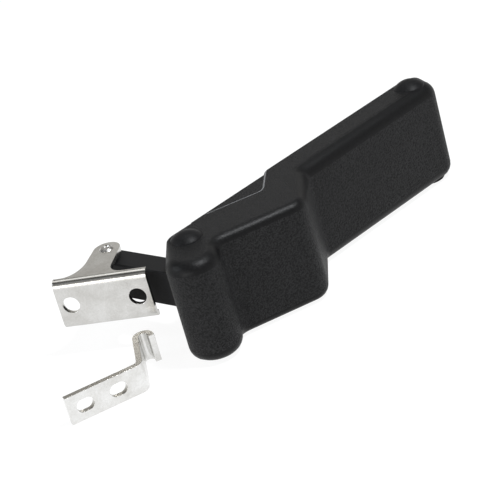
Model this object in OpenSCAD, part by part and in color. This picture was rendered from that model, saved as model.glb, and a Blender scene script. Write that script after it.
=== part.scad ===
// Flexible draw latch with a moulded rubber pull handle, a folding arm, a screw-on bracket and a loose keeper.
// Millimetres. Origin on the bracket's mounting face, midway between its two screw holes.
// X runs along the bracket plate, Y runs from the mounting face back to the arm pin, Z runs along the pins.

/* [Bracket] */
// Length of the mounting plate
bracket_len = 29; // [27:0.5:34]
// Height over the two ears
bracket_h = 15.8; // [15:0.1:17]
// Sheet thickness
bracket_t = 1.5; // [1.2:0.1:1.6]
// Screw hole diameter
hole_d = 5.3; // [4.2:0.1:5.5]
// Distance between the screw holes
hole_pitch = 20.8; // [18.5:0.1:21]
// Distance from the mounting face to the arm pin
pin_rise = 17.9; // [16:0.1:19]
// Diameter of the arm pin in the ears
arm_pin_d = 4; // [3.5:0.1:4.5]

/* [Arm] */
// Distance between the arm's two pin holes
arm_len = 35.8; // [34.5:0.1:37]
// Radius of the arm's round ends, half its thickness
arm_r = 4; // [3.8:0.1:4.3]
// Slant of the arm towards the mounting face as shown
arm_slant = 29.1; // [26:0.1:31]

/* [Handle] */
// Height of the rubber handle along the pins
handle_h = 32.5; // [30:0.1:36]
// Distance from the barrel pin to the keeper pin
pin_span = 101; // [95:0.5:115]
// Direction of the handle as shown, from the bracket plate
handle_turn = 55.5; // [50:0.5:65]
// Radius of the finger lobe
lobe_r = 8; // [7.5:0.1:8.5]
// How far the raised panel stands out at its peak
panel_peak = 19.4; // [18.5:0.1:20.5]
// Wall thickness over the hollow back
wall = 3.2; // [2.4:0.1:3.6]
// How far the side skirts sit in from the side faces
skirt_inset = 1.1; // [0.6:0.1:1.6]
// Diameter of the pin inside the barrel
barrel_pin_d = 4.5; // [4:0.1:4.8]
// Diameter of the pin the keeper hooks on
keeper_pin_d = 2.4; // [2.2:0.1:2.8]
// Diameter of the domed plugs over the pin ends
plug_d = 9.6; // [9:0.1:9.8]
// Height of the domes
dome_h = 2.1; // [1.4:0.1:2.4]

/* [Keeper] */
// Height of the keeper strip
keeper_h = 8.7; // [8:0.1:10]
// Sheet thickness of the keeper
keeper_t = 1.8; // [1.5:0.1:2]
// Length of the keeper's flat plate
keeper_len = 22; // [21:0.1:25]
// Length of the keeper's slots
slot_len = 5.4; // [5:0.1:5.8]
// Width of the keeper's slots
slot_w = 4; // [3.5:0.1:4.4]

/* [Hidden] */
$fn = 48;
clear = 0.05;
gap = 0.7;
ear_in = bracket_h / 2 - bracket_t;
arm_half = ear_in - gap;
ear_r = 4.2;
pin_x = -1.7;
top = handle_h / 2;
plug_sink = 2.4;
barrel = [pin_x + arm_len * cos(arm_slant), pin_rise - arm_len * sin(arm_slant)];
hook_pin = [pin_span, 2.3];
end_y = 1.75;
end_gap = 7.55;
flush_dome = 0.3;
end_r = 6.05;
rim_r = 0.6;
lobe_edge_r = 4;
edge_r = 2.8;
end_edge_r = 4.2;
boss_r = 6;
lobe = [-6, -8];
back_y = end_y + end_r;
front_y = end_y - end_r;
arm_hollow = arm_half + gap;
bracket_hollow = bracket_h / 2 + 1.1;
keeper_hollow = keeper_h / 2 + 1.9;
hollow_split = 52;
keeper_turn = 36.4;
keeper_at = [-3.85, -40, -top - flush_dome];
keeper_bend_r = 2.4;
keeper_rise = 72;
keeper_leg = 13.9;
hook_r = keeper_pin_d / 2 + 0.15 + keeper_t / 2;

// Plane geometry
function unit(v) = v / norm(v);
function left(v) = [-v[1], v[0]];
function dir(a) = [cos(a), sin(a)];
function side(u, v) = u[0] * v[1] - u[1] * v[0];
function meet(p, u, q, v) = p + u * side(q - p, v) / side(u, v);
function arc(c, r, from, to, n) = [for (i = [0 : n]) c + r * dir(from + (to - from) * i / n)];

// One rounded corner of an outline, b between a and c
function bend_angle(a, b, c) = let (u = unit(b - a), v = unit(c - b)) atan2(side(u, v), u * v);
function rounded(a, b, c, r) =
    let (
        turn = bend_angle(a, b, c),
        u = unit(b - a),
        back = r * tan(abs(turn) / 2),
        s = sign(turn),
        start = b - u * back,
        centre = start + left(u) * r * s,
        from = atan2(u[1], u[0]) - 90 * s,
        n = max(3, ceil(abs(turn) / 8))
    )
    arc(centre, r, from, from + turn, n);
function outline(p, r) =
    let (n = len(p))
    [for (i = [0 : n - 1]) each rounded(p[(i + n - 1) % n], p[i], p[(i + 1) % n], r[i])];

// Handle outline in its own plane: barrel pin at 0, length along x, back towards +y
lobe_dir = unit(lobe);
lobe_side = left(lobe_dir);
tip = lobe + lobe_dir * lobe_r;
tangent = asin((boss_r - lobe_r) / norm(lobe));
flank = lobe_dir * sin(tangent) - lobe_side * cos(tangent);
panel_a = [1.5, -9.2];
panel_b = [30, -panel_peak];
panel_dir = unit(panel_b - panel_a);
ramp_end = [46, front_y];
ramp_dir = unit(ramp_end - panel_b);
nose_right = tip + lobe_side * lobe_r;
valley = meet(nose_right, -lobe_dir, panel_a, panel_dir);
flank_point = flank * boss_r;
flank_dir = left(flank);
nose_left = meet(flank_point, flank_dir, tip, lobe_side);
rim_left = meet(flank_point, flank_dir, [0, boss_r], [1, 0]);
far = pin_span + end_gap;
rim_a = [13.5, boss_r - 0.2];
rim_b = [30.4, -0.8];
rim_c = [40.2, back_y];
body_points = [
    nose_left, nose_right, valley, panel_b, ramp_end,
    [far, front_y], [far, back_y], rim_c, rim_b, rim_a, rim_left
];
body_radii = [lobe_r - 0.01, lobe_r - 0.01, 4, 6.5, 3.5, end_r - 0.01, end_r - 0.01, 4, 2.5, 8, boss_r - 0.01];
body_line = outline(body_points, body_radii);

// Edge rounding: full on the front, fading to none on the back rim
function at(i) = body_line[(i + len(body_line)) % len(body_line)];
function outward(i) = -left(unit(unit(at(i + 1) - at(i)) + unit(at(i) - at(i - 1))));
function ramp01(t) = let (k = min(1, max(0, t))) k * k * (3 - 2 * k);
function front_r(x) =
    lobe_edge_r
    + (edge_r - lobe_edge_r) * ramp01((x + 1) / 6)
    + (end_edge_r - edge_r) * ramp01((x - 28) / 16);
function edge_round(i) =
    rim_r + (front_r(at(i)[0]) - rim_r) * ramp01((0.75 - outward(i)[1]) / 0.9);
body_n = len(body_line);
steps = 6;
ring_angle = [for (k = [0 : steps]) 90 * k / steps];
function ring(k, up) =
    [for (i = [0 : body_n - 1])
        let (e = edge_round(i), p = at(i) - outward(i) * e * (1 - cos(ring_angle[k])))
        [p[0], p[1], up * (top - e + e * sin(ring_angle[k]))]];
function over(up) = [for (p = ring(steps, up)) [p[0], p[1], up * (top + 2)]];
body_rings = concat(
    [over(-1)],
    [for (k = [steps : -1 : 0]) ring(k, -1)],
    [for (k = [0 : steps]) ring(k, 1)],
    [over(1)]
);
ring_count = len(body_rings);

module body_block() {
    intersection() {
        polyhedron(
            points = [for (r = body_rings) each r],
            faces = concat(
                [[for (i = [0 : body_n - 1]) i]],
                [[for (i = [body_n - 1 : -1 : 0]) (ring_count - 1) * body_n + i]],
                [for (k = [0 : ring_count - 2], i = [0 : body_n - 1])
                    let (j = (i + 1) % body_n)
                    [k * body_n + i, (k + 1) * body_n + i, (k + 1) * body_n + j]],
                [for (k = [0 : ring_count - 2], i = [0 : body_n - 1])
                    let (j = (i + 1) % body_n)
                    [k * body_n + i, (k + 1) * body_n + j, k * body_n + j]]
            )
        );
        translate([-60, -60, -top])
            cube([pin_span + 120, 120, handle_h]);
    }
}

// Straight side skirts behind the raised panel
module skirt_block() {
    h = 2 * (top - skirt_inset);
    translate([0, 0, -h / 2])
        linear_extrude(height = h)
            polygon([[2, 0], [30, -8], [47, 0], [47, back_y - 0.1], [9, back_y - 0.1], [6.5, back_y - 1.6], [2, 4.6]]);
}

// Room behind the front wall
module hollow_block() {
    in_a = panel_a + left(panel_dir) * wall;
    in_b = panel_b + left(ramp_dir) * wall;
    knee = meet(in_a, panel_dir, in_b, ramp_dir);
    heel = meet(in_b, ramp_dir, [0, front_y + wall], [1, 0]);
    start = meet(in_a, panel_dir, [11, 0], [0, 1]);
    translate([0, 0, -bracket_hollow])
        linear_extrude(height = 2 * bracket_hollow)
            polygon([start, knee, heel, [hollow_split, front_y + wall], [hollow_split, 30], [11, 30]]);
    translate([0, 0, -keeper_hollow])
        linear_extrude(height = 2 * keeper_hollow)
            polygon([
                [hollow_split - 1, front_y + wall], [pin_span + 2, front_y + wall],
                [pin_span + 2, 30], [hollow_split - 1, 30]
            ]);
    translate([pin_span, hook_pin[1], -keeper_hollow])
        cylinder(r = hook_pin[1] - front_y - 2, h = 2 * keeper_hollow);
    translate([0, 0, -arm_hollow])
        linear_extrude(height = 2 * arm_hollow)
            polygon([[1, -arm_r - 0.2], [12, -8], [12, 30], [-20, 30], [-20, 7.5], [-arm_r - 0.2, -0.5]]);
    translate([0, 0, -arm_hollow])
        cylinder(r = arm_r + 0.6, h = 2 * arm_hollow);
}

module handle_place() {
    translate([barrel[0], barrel[1], 0])
        rotate([0, 0, handle_turn])
            children();
}

// Plug seat in the handle's side face
module plug_seat(at, up) {
    handle_place()
        translate([at[0], at[1], 0])
            mirror([0, 0, up > 0 ? 0 : 1]) {
                translate([0, 0, top - plug_sink])
                    cylinder(d = plug_d, h = plug_sink);
                translate([0, 0, top])
                    children();
            }
}

// Dome of an upper plug
module dome() {
    ball = (plug_d * plug_d / 4 + dome_h * dome_h) / (2 * dome_h);
    intersection() {
        translate([0, 0, dome_h - ball])
            sphere(r = ball);
        cylinder(d = plug_d, h = dome_h + 1);
    }
}

// Nearly flush face of a lower plug
module flush_face() {
    cylinder(d1 = plug_d, d2 = plug_d - 1.6, h = flush_dome);
}

// Ear and plate outline of the bracket, seen along the pin
module bracket_outline() {
    foot = 2.6;
    right = pin_x + ear_r;
    sweep_x = -bracket_len / 2 + 2.2;
    sweep_h = pin_rise * 0.52;
    polygon(concat(
        [[-bracket_len / 2, 0], [bracket_len / 2, 0], [bracket_len / 2, foot]],
        arc([right + 4.5, foot + 4.5], 4.5, 270, 180, 8),
        [[right, pin_rise], [pin_x - ear_r, pin_rise]],
        [for (i = [0 : 10])
            let (a = 90 * i / 10)
            [sweep_x + (pin_x - ear_r - 0.3 - sweep_x) * cos(a), foot + sweep_h * (1 - sin(a))]],
        [[-bracket_len / 2, foot]]
    ));
    translate([pin_x, pin_rise])
        circle(r = ear_r);
}

// Bent U section of the bracket, seen along the plate
module bracket_section() {
    bend = bracket_t + 0.7;
    reach = pin_rise + ear_r + 2;
    difference() {
        union() {
            translate([bend, -bracket_h / 2])
                square([reach, bracket_h]);
            translate([0, -bracket_h / 2 + bend])
                square([bend + 1, bracket_h - 2 * bend]);
            for (s = [-1, 1])
                translate([bend, s * (bracket_h / 2 - bend)])
                    circle(r = bend);
        }
        translate([bend, -ear_in])
            square([reach + 1, 2 * ear_in]);
        translate([bracket_t, -ear_in + 0.7])
            square([bend, 2 * ear_in - 1.4]);
        for (s = [-1, 1])
            translate([bend, s * (ear_in - 0.7)])
                circle(r = 0.7);
    }
}

// Centre line of the keeper strip and its two faces
keeper_heading = dir(keeper_rise);
bend_centre = [keeper_len, keeper_t / 2 + keeper_bend_r];
leg_start = bend_centre + keeper_bend_r * dir(keeper_rise - 90);
leg_end = leg_start + keeper_heading * keeper_leg;
hook_centre = leg_end - left(keeper_heading) * hook_r;
hook_end = keeper_rise + 90 - 168;
lip_end = hook_centre + hook_r * dir(hook_end) + dir(hook_end - 90) * 1.6;
function strip_face(off) = concat(
    [[0, keeper_t / 2 + off]],
    arc(bend_centre, keeper_bend_r - off, -90, keeper_rise - 90, 10),
    arc(hook_centre, hook_r + off, keeper_rise + 90, hook_end, 16),
    [lip_end + dir(hook_end) * off]
);
function reverse(p) = [for (i = [len(p) - 1 : -1 : 0]) p[i]];

// Stainless U bracket: mounting plate, two ears, two screw holes
module bracket() {
    color([0.78, 0.79, 0.8])
        difference() {
            intersection() {
                translate([-bracket_len / 2 - 1, 0, 0])
                    rotate([90, 0, 90])
                        linear_extrude(height = bracket_len + 2)
                            bracket_section();
                translate([0, 0, -bracket_h])
                    linear_extrude(height = 2 * bracket_h)
                        bracket_outline();
            }
            for (s = [-1, 1])
                translate([s * hole_pitch / 2, -1, 0])
                    rotate([-90, 0, 0])
                        cylinder(d = hole_d, h = bracket_t + 2);
            translate([pin_x, pin_rise, -bracket_h])
                cylinder(d = arm_pin_d, h = 2 * bracket_h);
        }
}

// Rivet pin through the ears
module arm_pin() {
    half = bracket_h / 2;
    color([0.6, 0.61, 0.62])
        translate([pin_x, pin_rise, 0]) {
            translate([0, 0, -half])
                cylinder(d = arm_pin_d, h = bracket_h);
            for (s = [0, 1])
                mirror([0, 0, s])
                    translate([0, 0, half])
                        cylinder(d1 = arm_pin_d + 0.7, d2 = arm_pin_d - 0.8, h = 0.5);
        }
}

// Short plastic arm from the bracket pin to the barrel pin
module arm() {
    color([0.1, 0.1, 0.11])
        translate([pin_x, pin_rise, 0])
            rotate([0, 0, -arm_slant])
                difference() {
                    translate([0, 0, -arm_half])
                        linear_extrude(height = 2 * arm_half) {
                            circle(r = arm_r);
                            translate([arm_len, 0])
                                circle(r = arm_r);
                            translate([0, -arm_r])
                                square([arm_len, 2 * arm_r]);
                        }
                    translate([0, 0, -arm_half - 1])
                        cylinder(d = arm_pin_d + 2 * clear, h = 2 * arm_half + 2);
                    translate([arm_len, 0, -arm_half - 1])
                        cylinder(d = barrel_pin_d + 2 * clear, h = 2 * arm_half + 2);
                }
}

// Rubber handle: finger lobe, raised panel, step, flat end section, hollow back
module handle() {
    color([0.06, 0.06, 0.065])
        handle_place()
            difference() {
                union() {
                    body_block();
                    skirt_block();
                }
                hollow_block();
                translate([0, 0, -top - 1])
                    cylinder(d = barrel_pin_d, h = handle_h + 2);
                translate([hook_pin[0], hook_pin[1], -top - 1])
                    cylinder(d = keeper_pin_d, h = handle_h + 2);
                for (p = [[0, 0], hook_pin], s = [0, 1])
                    mirror([0, 0, s])
                        translate([p[0], p[1], top - plug_sink])
                            cylinder(d = plug_d, h = plug_sink + 3);
            }
}

// Steel pin through the barrel and the arm
module barrel_pin() {
    color([0.6, 0.61, 0.62])
        handle_place()
            translate([0, 0, -top + plug_sink])
                cylinder(d = barrel_pin_d, h = handle_h - 2 * plug_sink);
}

// Plug over the top end of the barrel pin
module barrel_plug_top() {
    color([0.09, 0.09, 0.1])
        plug_seat([0, 0], 1)
            dome();
}

// Plug over the bottom end of the barrel pin
module barrel_plug_bottom() {
    color([0.09, 0.09, 0.1])
        plug_seat([0, 0], -1)
            flush_face();
}

// Steel pin at the handle's far end, caught by the keeper's hook
module keeper_pin() {
    color([0.6, 0.61, 0.62])
        handle_place()
            translate([hook_pin[0], hook_pin[1], -top + plug_sink])
                cylinder(d = keeper_pin_d, h = handle_h - 2 * plug_sink);
}

// Plug over the top end of the keeper pin
module keeper_plug_top() {
    color([0.09, 0.09, 0.1])
        plug_seat(hook_pin, 1)
            dome();
}

// Plug over the bottom end of the keeper pin
module keeper_plug_bottom() {
    color([0.09, 0.09, 0.1])
        plug_seat(hook_pin, -1)
            flush_face();
}

// Stainless keeper: slotted plate bent up into a hook
module keeper() {
    color([0.78, 0.79, 0.8])
        translate(keeper_at)
            rotate([0, 0, keeper_turn])
                difference() {
                    linear_extrude(height = keeper_h)
                        polygon(concat(strip_face(-keeper_t / 2), reverse(strip_face(keeper_t / 2))));
                    for (f = [0.24, 0.71])
                        translate([keeper_len * f, -1, keeper_h / 2])
                            rotate([-90, 0, 0])
                                linear_extrude(height = keeper_t + 2) {
                                    square([slot_len - slot_w, slot_w], center = true);
                                    for (s = [-1, 1])
                                        translate([s * (slot_len - slot_w) / 2, 0])
                                            circle(d = slot_w);
                                }
                }
}

bracket();
arm_pin();
arm();
handle();
barrel_pin();
barrel_plug_top();
barrel_plug_bottom();
keeper_pin();
keeper_plug_top();
keeper_plug_bottom();
keeper();
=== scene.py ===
import math

import bpy
from mathutils import Matrix, Vector


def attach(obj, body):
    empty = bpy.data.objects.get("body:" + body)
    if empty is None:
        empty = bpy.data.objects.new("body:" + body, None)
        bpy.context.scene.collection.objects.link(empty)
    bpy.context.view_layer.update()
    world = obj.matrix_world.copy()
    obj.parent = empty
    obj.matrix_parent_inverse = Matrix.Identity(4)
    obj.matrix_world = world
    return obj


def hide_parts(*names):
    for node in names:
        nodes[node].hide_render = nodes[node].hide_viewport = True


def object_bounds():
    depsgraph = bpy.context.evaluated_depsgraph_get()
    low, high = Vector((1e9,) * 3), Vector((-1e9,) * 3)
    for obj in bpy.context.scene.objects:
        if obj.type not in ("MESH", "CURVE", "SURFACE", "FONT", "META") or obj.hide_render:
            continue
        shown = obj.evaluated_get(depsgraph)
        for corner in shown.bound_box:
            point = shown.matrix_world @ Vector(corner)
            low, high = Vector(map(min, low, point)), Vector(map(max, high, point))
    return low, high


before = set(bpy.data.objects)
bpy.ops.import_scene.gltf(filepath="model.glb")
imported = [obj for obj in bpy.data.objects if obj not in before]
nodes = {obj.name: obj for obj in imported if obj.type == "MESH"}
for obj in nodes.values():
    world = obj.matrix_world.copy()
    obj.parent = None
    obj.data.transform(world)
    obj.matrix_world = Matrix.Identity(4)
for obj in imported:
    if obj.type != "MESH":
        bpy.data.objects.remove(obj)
cad_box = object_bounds()


# Bracket: stainless sheet, cut and pressed into a U with two ears, and polished.
# Two screws through its round holes fix it to a panel, and the arm's rivet is set in its ears.
class Sock:
    """A shader socket that can be written in Python expressions."""

    def __init__(self, tree, out):
        self.tree = tree
        self.out = out

    def maths(self, operation, *values):
        node = self.tree.nodes.new("ShaderNodeMath")
        node.operation = operation
        for slot, value in zip(node.inputs, values):
            if isinstance(value, Sock):
                self.tree.links.new(value.out, slot)
            else:
                slot.default_value = value
        return Sock(self.tree, node.outputs[0])

    def __add__(self, other):
        return self.maths("ADD", self, other)

    def __sub__(self, other):
        return self.maths("SUBTRACT", self, other)

    def __rsub__(self, other):
        return self.maths("SUBTRACT", other, self)

    def __mul__(self, other):
        return self.maths("MULTIPLY", self, other)

    def __abs__(self):
        return self.maths("ABSOLUTE", self)

    __radd__ = __add__
    __rmul__ = __mul__


class Finish:
    """A material with one method that adds any node by its type, settings and sockets."""

    def __init__(self, name):
        self.material = bpy.data.materials.new(name)
        self.material.use_nodes = True
        self.tree = self.material.node_tree
        self.shader = self.tree.nodes["Principled BSDF"]

    def node(self, kind, settings=None, output=0, **sockets):
        made = self.tree.nodes.new("ShaderNode" + kind)
        for name, value in (settings or {}).items():
            if name == "stops":
                ramp = made.color_ramp
                while len(ramp.elements) < len(value):
                    ramp.elements.new(0.5)
                for element, (place, colour) in zip(ramp.elements, value):
                    element.position = place
                    element.color = (*colour, 1)
            else:
                setattr(made, name, value)
        for name, value in sockets.items():
            self.feed(made.inputs[name.replace("_", " ")], value)
        return Sock(self.tree, made.outputs[output])

    def feed(self, slot, value):
        if isinstance(value, Sock):
            self.tree.links.new(value.out, slot)
        else:
            slot.default_value = value

    def set(self, **sockets):
        for name, value in sockets.items():
            self.feed(self.shader.inputs[name.replace("_", " ")], value)

    def ramp(self, value, low, high):
        """A smooth step of a value from 0 at low to 1 at high."""
        smooth = {"interpolation_type": "SMOOTHSTEP"}
        return self.node("MapRange", smooth, Value=value, From_Min=low, From_Max=high)

    def place(self):
        """Object coordinates, which are metres in the shared frame."""
        return self.node("TexCoord", output=3)

    def rise(self):
        """How far a face looks up: 0 on an upright wall, 1 on a level top, -1 underneath."""
        return self.node("SeparateXYZ", output=2, Vector=self.node("NewGeometry", output=1))


flat_weight = 80
merge_distance = 0.000002
flat_angle = 0.4
eased_angle = 40
eased_steps = 3


def shade(piece, angle):
    """Smooth shading up to an angle, with flat faces kept flat, on the active piece."""
    bpy.ops.mesh.customdata_custom_splitnormals_clear()
    bpy.ops.object.shade_smooth_by_angle(angle=math.radians(angle))
    flat = piece.modifiers.new("flat_faces", "WEIGHTED_NORMAL")
    flat.keep_sharp = True
    flat.weight = flat_weight
    bpy.ops.object.modifier_apply(modifier=flat.name)


def skin(name, body, material, bevel=0.0, angle=35):
    """A merged, smooth-shaded copy of a CAD node that stands for it, with its sharp edges eased."""
    bpy.ops.object.select_all(action="DESELECT")
    piece = nodes[name].copy()
    piece.data = nodes[name].data.copy()
    piece.name = name + "_skin"
    piece.parent = None
    bpy.context.scene.collection.objects.link(piece)
    for key in list(piece.keys()):
        del piece[key]
    piece.select_set(True)
    bpy.context.view_layer.objects.active = piece
    bpy.ops.object.mode_set(mode="EDIT")
    bpy.ops.mesh.select_all(action="SELECT")
    bpy.ops.mesh.remove_doubles(threshold=merge_distance)
    bpy.ops.mesh.dissolve_limited(angle_limit=math.radians(flat_angle))
    bpy.ops.object.mode_set(mode="OBJECT")
    if bevel:
        eased = piece.modifiers.new("eased_edges", "BEVEL")
        eased.width = bevel
        eased.segments = eased_steps
        eased.limit_method = "ANGLE"
        eased.angle_limit = math.radians(eased_angle)
        bpy.ops.object.modifier_apply(modifier=eased.name)
    shade(piece, angle)
    piece.data.materials.clear()
    piece.data.materials.append(material)
    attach(piece, body)
    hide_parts(name)
    return piece


def sheet_steel(name, painted_shade_bands):
    """Polished stainless whose tone goes by rise, a painted reflection and shade, so bends and cut edges show
    painted light and dark bands.
    """
    steel = Finish(name)
    place = steel.place()
    drawn_out = steel.node("Mapping", Vector=place, Scale=(60, 60, 3000))
    rolled = steel.node("TexNoise", Vector=drawn_out, Scale=1.0)
    smudge = steel.node("TexNoise", Vector=place, Scale=160.0, Detail=5.0)
    speck = steel.node("TexNoise", Vector=place, Scale=1500.0, Detail=2.0)
    wear = steel.node(
        "ValToRGB",
        {"stops": [(0.3, (0.78, 0.77, 0.75)), (0.62, (1, 1, 1))]},
        Fac=0.75 * smudge + 0.25 * speck,
    )
    steel.set(
        Base_Color=steel.node(
            "MixRGB",
            {"blend_type": "MULTIPLY"},
            Fac=1.0,
            Color1=steel.node("ValToRGB", {"stops": painted_shade_bands}, Fac=steel.rise()),
            Color2=wear,
        ),
        Metallic=1.0,
        Roughness=0.14 + 0.1 * rolled + 0.1 * smudge,
        Normal=steel.node("Bump", Height=rolled + 0.4 * speck, Strength=0.06, Distance=0.0002),
    )
    return steel.material


sheet_ease = 0.00025
# The tone stops by rise are painted reflections: they give the bends their dark and light bands.
bracket_steel = sheet_steel(
    "bracket_stainless",
    [
        (0.0, (0.66, 0.655, 0.64)),
        (0.1, (0.8, 0.79, 0.77)),
        (0.22, (0.4, 0.39, 0.36)),
        (0.5, (0.7, 0.69, 0.66)),
        (0.68, (0.9, 0.89, 0.86)),
        (0.8, (0.38, 0.37, 0.34)),
        (0.95, (0.78, 0.77, 0.74)),
    ],
)
skin("bracket", "bracket_body", bracket_steel, sheet_ease)

# Keeper: a strip of thicker stainless with two screw slots, its end rolled into an open hook.
# It is a loose piece here and is screwed to the second panel; painted shade by slope darkens its sheared
# edges.
keeper_steel = sheet_steel(
    "keeper_stainless",
    [
        (0.0, (0.84, 0.84, 0.83)),
        (0.25, (0.55, 0.54, 0.51)),
        (0.75, (0.45, 0.44, 0.41)),
        (0.95, (0.56, 0.54, 0.5)),
    ],
)
skin("keeper", "keeper_body", keeper_steel, sheet_ease)

# Pins: turned steel rods. The arm's is a rivet, peened to a shallow cup over each ear.
# The two in the handle are pressed in and shut in by the plugs.
pin_steel = Finish("turned_steel")
pin_grain = pin_steel.node("TexNoise", Vector=pin_steel.place(), Scale=900.0, Detail=2.0)
pin_steel.set(
    Base_Color=pin_steel.node(
        "ValToRGB", {"stops": [(0.35, (0.42, 0.41, 0.39)), (0.65, (0.68, 0.67, 0.65))]}, Fac=pin_grain
    ),
    Metallic=1.0,
    Roughness=0.2 + 0.15 * pin_grain,
)
pin_ease = 0.0002


def clear_selection():
    """Deselects all of the active piece's mesh."""
    bpy.ops.object.mode_set(mode="EDIT")
    bpy.ops.mesh.select_all(action="DESELECT")
    bpy.ops.object.mode_set(mode="OBJECT")


rivet = skin("arm_pin", "bracket_body", pin_steel.material, pin_ease)
cup_rim = 0.0005
cup_depth = 0.0003
cup_crease = 25
end_slack = 0.00001
clear_selection()
rivet_top = max(vertex.co.z for vertex in rivet.data.vertices)
rivet_foot = min(vertex.co.z for vertex in rivet.data.vertices)
for face in rivet.data.polygons:
    face.select = face.center.z > rivet_top - end_slack or face.center.z < rivet_foot + end_slack
bpy.ops.object.mode_set(mode="EDIT")
bpy.ops.mesh.inset(thickness=cup_rim, depth=0)
bpy.ops.mesh.inset(thickness=cup_rim * 0.5, depth=-cup_depth)
bpy.ops.object.mode_set(mode="OBJECT")
shade(rivet, cup_crease)
for name in ("barrel_pin", "keeper_pin"):
    skin(name, "handle_body", pin_steel.material, pin_ease)

# Handle: one moulding of black rubber, grained outside, with smoother rounded edges and a hollow back.
# The pins go through its two ends, and the arm turns inside the barrel end.
rubber = Finish("grained_rubber")
rubber_place = rubber.place()
rubber_slope = abs(rubber.rise())
level = rubber.ramp(rubber_slope, 0.96, 0.985)
plain = rubber.ramp(rubber_slope, 0.06, 0.11) * (1 - level)
grain = rubber.ramp(rubber.node("TexNoise", Vector=rubber_place, Scale=2100.0, Detail=4.0), 0.33, 0.67)
fine = rubber.node("TexNoise", Vector=rubber_place, Scale=3000.0, Detail=1.0)
cloud = rubber.node("TexNoise", Vector=rubber_place, Scale=70.0, Detail=3.0)
# Painted shade: the rounded edges, which are also smoother, and the level tops are made darker by slope.
# The grain and the cloudy tone are the rubber's own.
grain_and_painted_shade = 0.95 * grain * (1 - 0.85 * plain) * (1 - 0.6 * level) * (0.75 + 0.5 * cloud)

# The top face ends at a rim above a lower ledge, and a painted highlight makes the rim a paler line:
# one run lies beside the barrel's panel, the other turns up at the step, and a smooth minimum rounds the
# turn.
rim_runs = (((0.034, 0.01523), (0.04656, 0.02375)), ((0.0479, 0.0266), (0.0467, 0.0366)))
rim_turn = 0.003
rim_full = 0.0001
rim_fade = 0.0003
rim_foot = 0.0161
rim_head = 0.0162
rubber_x = rubber.node("SeparateXYZ", output=0, Vector=rubber_place)
rubber_y = rubber.node("SeparateXYZ", output=1, Vector=rubber_place)
rubber_z = rubber.node("SeparateXYZ", output=2, Vector=rubber_place)
beyond = []
for start, end in rim_runs:
    run = (Vector(end) - Vector(start)).normalized()
    beyond.append((rubber_y - start[1]) * run.x - (rubber_x - start[0]) * run.y)
past_rim = beyond[0].maths("SMOOTH_MIN", beyond[0], beyond[1], rim_turn)
off_rim = rubber.ramp(abs(past_rim), rim_full, rim_fade)
painted_rim_highlight = (1 - off_rim) * rubber.ramp(rubber_z, rim_foot, rim_head)
pimples = (grain + 0.4 * fine) * (1 - 0.85 * plain)
black = rubber.node(
    "ValToRGB", {"stops": [(0.0, (0.003, 0.003, 0.0033)), (1.0, (0.02, 0.02, 0.0205))]}, Fac=grain_and_painted_shade
)
rubber.set(
    Base_Color=rubber.node("MixRGB", Fac=painted_rim_highlight, Color1=black, Color2=(0.16, 0.16, 0.165, 1)),
    Roughness=0.44 + 0.14 * fine - 0.08 * plain,
    Normal=rubber.node("Bump", Height=pimples, Strength=0.45, Distance=0.0003),
)
rubber.shader.inputs["Specular IOR Level"].default_value = 0.15
handle_crease = 32
handle = skin("handle", "handle_body", rubber.material, angle=handle_crease)

# The CAD skin folds over itself by a quarter of a millimetre where the barrel's round meets its flank.
# The pleat's lips are joined, so that the edge's highlight runs on.
pleat = Vector((0.03465, -0.01465))
pleat_reach = 0.0022
pleat_width = 0.00026
clear_selection()
for vertex in handle.data.vertices:
    vertex.select = (vertex.co.xy - pleat).length < pleat_reach
bpy.ops.object.mode_set(mode="EDIT")
bpy.ops.mesh.remove_doubles(threshold=pleat_width)
bpy.ops.object.mode_set(mode="OBJECT")


def pin_centre(name):
    """Centre of an upright pin, seen from above."""
    points = [nodes[name].matrix_world @ vertex.co for vertex in nodes[name].data.vertices]
    low = Vector((min(point.x for point in points), min(point.y for point in points)))
    high = Vector((max(point.x for point in points), max(point.y for point in points)))
    return (low + high) / 2


# The barrel's rear edges are rounded over: each small round grows from its own corner on the wall.
barrel = pin_centre("barrel_pin")
along = (pin_centre("keeper_pin") - barrel).normalized()
forward = Vector((along.y, -along.x))
rear_round = 0.0038
rear_from = -0.0035
rear_to = -0.009
rear_reach = 0.01
rear_slack = 0.0003
least_round = 0.0003
wall_slope = 0.16
nearness = 0.00012
top = max(vertex.co.z for vertex in handle.data.vertices)
rear = []
for vertex in handle.data.vertices:
    behind_pin = along.dot(vertex.co.xy - barrel) < rear_from + rear_slack
    if behind_pin and top - abs(vertex.co.z) < rear_round:
        rear.append(vertex)
corners = []
for vertex in rear:
    depth = top - abs(vertex.co.z)
    on_wall = abs(vertex.normal.z) < wall_slope and depth > least_round
    if on_wall and forward.dot(vertex.co.xy - barrel) < rear_reach:
        corners.append((vertex.co.xy.copy(), depth, vertex.co.z > 0))
moved = {}
for vertex in rear:
    depth = top - abs(vertex.co.z)
    best = nearness
    for corner, radius, upper in corners:
        if upper != (vertex.co.z > 0) or depth > radius + nearness:
            continue
        inset = radius - math.sqrt(max(radius * radius - (radius - depth) ** 2, 0))
        miss = abs((vertex.co.xy - corner).length - inset)
        if miss < best:
            best = miss
            blend = (rear_from - along.dot(corner - barrel)) / (rear_from - rear_to)
            blend = min(max(blend, 0), 1)
            grow = (radius + max(rear_round - radius, 0) * blend) / radius
            spot = corner + (vertex.co.xy - corner) * grow
            moved[vertex.index] = (spot.x, spot.y, math.copysign(top - depth * grow, vertex.co.z))
for index, spot in moved.items():
    handle.data.vertices[index].co = spot
bpy.ops.object.select_all(action="DESELECT")
handle.select_set(True)
bpy.context.view_layer.objects.active = handle
shade(handle, handle_crease)

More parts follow.
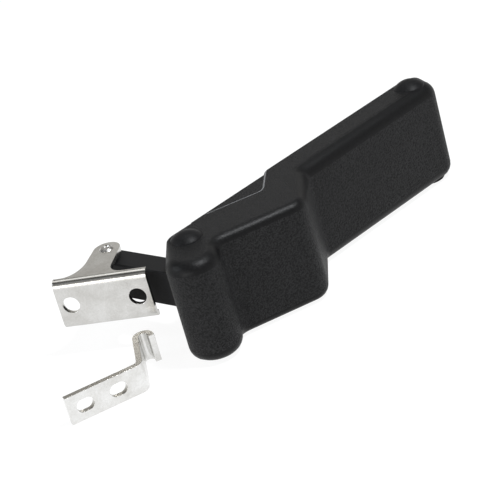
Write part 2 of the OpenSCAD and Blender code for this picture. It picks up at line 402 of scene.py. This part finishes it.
# Arm: a flat bar of black nylon, moulded, that links the rivet to the barrel's pin.
# Plugs: domed caps of the same nylon, pressed over the pins' ends; the lower ones sit nearly flush.
nylon = Finish("black_nylon")
nylon_grain = nylon.node("TexNoise", Vector=nylon.place(), Scale=1800.0, Detail=2.0)
nylon.set(
    Base_Color=nylon.node(
        "ValToRGB", {"stops": [(0.3, (0.004, 0.004, 0.0045)), (0.7, (0.009, 0.009, 0.0095))]}, Fac=nylon_grain
    ),
    Roughness=0.42 + 0.14 * nylon_grain,
    Normal=nylon.node("Bump", Height=nylon_grain, Strength=0.1, Distance=0.0001),
)
nylon.shader.inputs["Specular IOR Level"].default_value = 0.12
arm_ease = 0.0005
dome_ease = 0.0003
flush_ease = 0.0009
skin("arm", "arm_body", nylon.material, arm_ease)
for name in ("barrel_plug_top", "keeper_plug_top"):
    skin(name, "handle_body", nylon.material, dome_ease)
for name in ("barrel_plug_bottom", "keeper_plug_bottom"):
    skin(name, "handle_body", nylon.material, flush_ease)

# Camera from the photograph: the part seen from the front right and above, with a roll.
right = Vector((0.9526, 0.1802, -0.2455))
up = Vector((0.1328, 0.4797, 0.8673))
back = right.cross(up)
eye = Vector((0.2024, -0.4865, 0.2552))
lens = bpy.data.cameras.new("photo_camera")
lens.sensor_width = 36
lens.lens = 144.03
lens.clip_end = 20
camera = bpy.data.objects.new("photo_camera", lens)
bpy.context.scene.collection.objects.link(camera)
camera.matrix_world = Matrix((
    (right.x, up.x, back.x, eye.x),
    (right.y, up.y, back.y, eye.y),
    (right.z, up.z, back.z, eye.z),
    (0, 0, 0, 1),
))
bpy.context.scene.camera = camera

# Floor: pale paper under the part, white to the camera, that keeps a soft shadow.
floor_size = 6
floor_gap = 0.0003
bpy.ops.object.select_all(action="DESELECT")
bpy.ops.mesh.primitive_plane_add(size=floor_size, location=(0.03, 0.03, cad_box[0][2] - floor_gap))
floor = bpy.context.object
floor.name = "floor"
paper = Finish("floor_white")
paper.set(Base_Color=(0.85, 0.85, 0.85, 1), Roughness=0.9)
seen = paper.node("LightPath", output=0)
mirrored = paper.node("LightPath", output=3)
white = paper.node("Emission", Color=(1, 1, 1, 1), Strength=1.08)
both = paper.node("MixShader", Fac=0.86 * seen + 0.82 * mirrored)
paper.tree.links.new(paper.shader.outputs[0], both.out.node.inputs[1])
paper.tree.links.new(white.out, both.out.node.inputs[2])
paper.tree.links.new(both.out, paper.tree.nodes["Material Output"].inputs["Surface"])
floor.data.materials.append(paper.material)

# Studio: white behind the part, pale at the horizon and grey overhead, so that metal shows its bends.
world = bpy.data.worlds.new("studio")
bpy.context.scene.world = world
world.use_nodes = True
studio = world.node_tree
path = studio.nodes.new("ShaderNodeLightPath")
camera_ray = Sock(studio, path.outputs["Is Camera Ray"])
glossy_ray = Sock(studio, path.outputs["Is Glossy Ray"])
through_ray = Sock(studio, path.outputs["Is Transmission Ray"])
shown = camera_ray + glossy_ray + through_ray
strength = 0.35 + 0.65 * shown
ray = studio.nodes.new("ShaderNodeTexCoord")
height = studio.nodes.new("ShaderNodeSeparateXYZ")
sky = studio.nodes.new("ShaderNodeValToRGB")
sky.color_ramp.elements[0].position = 0.0
sky.color_ramp.elements[0].color = (0.95, 0.95, 0.95, 1)
sky.color_ramp.elements[1].position = 0.35
sky.color_ramp.elements[1].color = (0.6, 0.59, 0.57, 1)
overhead = sky.color_ramp.elements.new(0.7)
overhead.color = (0.12, 0.12, 0.12, 1)
behind = studio.nodes.new("ShaderNodeMixRGB")
behind.inputs["Color2"].default_value = (1, 1, 1, 1)
studio.links.new(ray.outputs["Generated"], height.inputs[0])
studio.links.new(height.outputs[2], sky.inputs[0])
studio.links.new(sky.outputs[0], behind.inputs["Color1"])
studio.links.new(camera_ray.out, behind.inputs["Fac"])
studio.links.new(behind.outputs[0], studio.nodes["Background"].inputs["Color"])
studio.links.new(strength.out, studio.nodes["Background"].inputs["Strength"])


# Lights: four soft boxes, the key high on the right, the others filling the front, the left and the back.
def soft_light(name, place, aim, size, watts, colour=(1, 1, 1)):
    """A rectangular soft box that faces a point."""
    lamp = bpy.data.lights.new(name, "AREA")
    lamp.shape = "RECTANGLE"
    lamp.size = size[0]
    lamp.size_y = size[1]
    lamp.energy = watts
    lamp.color = colour
    item = bpy.data.objects.new(name, lamp)
    bpy.context.scene.collection.objects.link(item)
    item.location = place
    item.rotation_euler = (Vector(aim) - Vector(place)).to_track_quat("-Z", "Y").to_euler()


middle = (0.04, 0.03, 0)
soft_light("key_box", (0.33, -0.03, 0.645), middle, (0.1, 0.08), 5.5, (0.95, 0.975, 1))
soft_light("front_fill", (-0.25, -0.75, 0.15), middle, (0.5, 0.3), 2.6)
soft_light("left_box", (-0.55, -0.2, 0.4), middle, (0.12, 0.2), 1.4, (0.88, 0.94, 1))
soft_light("back_box", (-0.1, 0.4, 0.9), middle, (0.8, 0.5), 1.6)

bpy.context.scene.view_settings.view_transform = "Standard"
